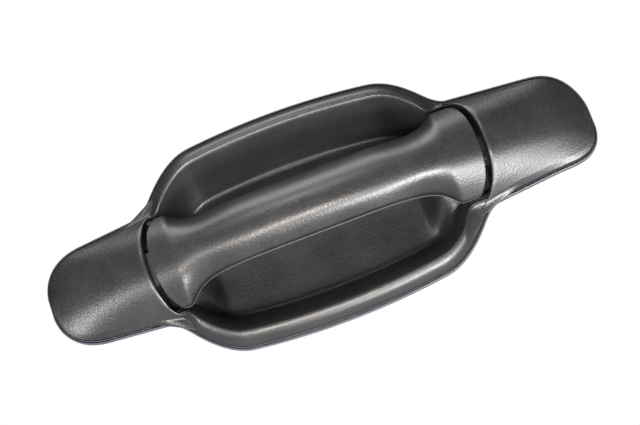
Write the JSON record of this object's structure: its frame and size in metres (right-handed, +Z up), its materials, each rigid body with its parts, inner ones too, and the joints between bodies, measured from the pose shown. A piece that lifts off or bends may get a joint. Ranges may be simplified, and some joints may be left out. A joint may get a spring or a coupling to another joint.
{
  "type": "car door handle",
  "caption": "Exterior pull-strap car door handle for a left-hand door: crowned bezel with a dished finger bowl, hinged grip, rubber gasket and bell-crank latch linkage",
  "frame": {"origin": "midway between the two mounting studs, on the outer face of the door skin", "axes": "+X along the handle towards the pulled end, +Y into the door, +Z up"},
  "size_m": [0.268, 0.078, 0.1065],
  "materials": {
    "black_plastic_body": "fine-grained charcoal ABS",
    "gasket_rubber": "ribbed EPDM",
    "inner_plastic": "glass-filled nylon, dull",
    "cast_zinc": "die-cast, satin",
    "zinc_plated_steel": "bright zinc plate",
    "spring_steel": "drawn wire",
    "acetal": "natural, slightly waxy",
    "bumper_rubber": "soft black rubber"
  },
  "bodies": {
    "fixed": {"bezel": "black_plastic_body", "perimeter_gasket": "gasket_rubber", "hinge_bracket": "cast_zinc", "crank_bracket": "cast_zinc", "bracket_screws": "zinc_plated_steel", "mounting_studs": "zinc_plated_steel", "stud_seals": "bumper_rubber", "hinge_pin": "zinc_plated_steel", "hinge_pin_clip": "spring_steel", "rest_bumpers": "bumper_rubber", "crank_pin": "zinc_plated_steel", "crank_pin_clip": "spring_steel", "crank_spring": "spring_steel"},
    "grip": {"grip_cover": "black_plastic_body", "grip_back": "inner_plastic", "hinge_bushes": "acetal", "grip_screws": "zinc_plated_steel", "lever_hook": "zinc_plated_steel", "hook_rivets": "zinc_plated_steel"},
    "crank": {"bell_crank": "cast_zinc", "crank_bush": "acetal", "crank_roller": "acetal", "roller_pin": "zinc_plated_steel", "counterweight": "zinc_plated_steel"},
    "clip": {"rod_clip": "acetal"}
  },
  "joints": [
    {"name": "grip_hinge", "type": "hinge", "parent": "fixed", "child": "grip", "pos_m": [-0.088, -0.008, -0.00158], "axis": [0, 0, -1], "range_deg": [0, 9], "stiffness_Nm_per_rad": 1.2, "springref_deg": -20.05},
    {"name": "crank_pivot", "type": "hinge", "parent": "fixed", "child": "crank", "pos_m": [0.084, 0.0283, 0.0192], "axis": [-1, 0, 0], "range_deg": [0, 50]},
    {"name": "clip_latch", "type": "hinge", "parent": "crank", "child": "clip", "pos_m": [0.081, 0.04461, 0.02681], "axis": [1, 0, 0], "range_deg": [0, 100]}
  ],
  "couplings": [
    {"joint": "crank_pivot", "follows": "grip_hinge", "ratio": 5.5556}
  ]
}
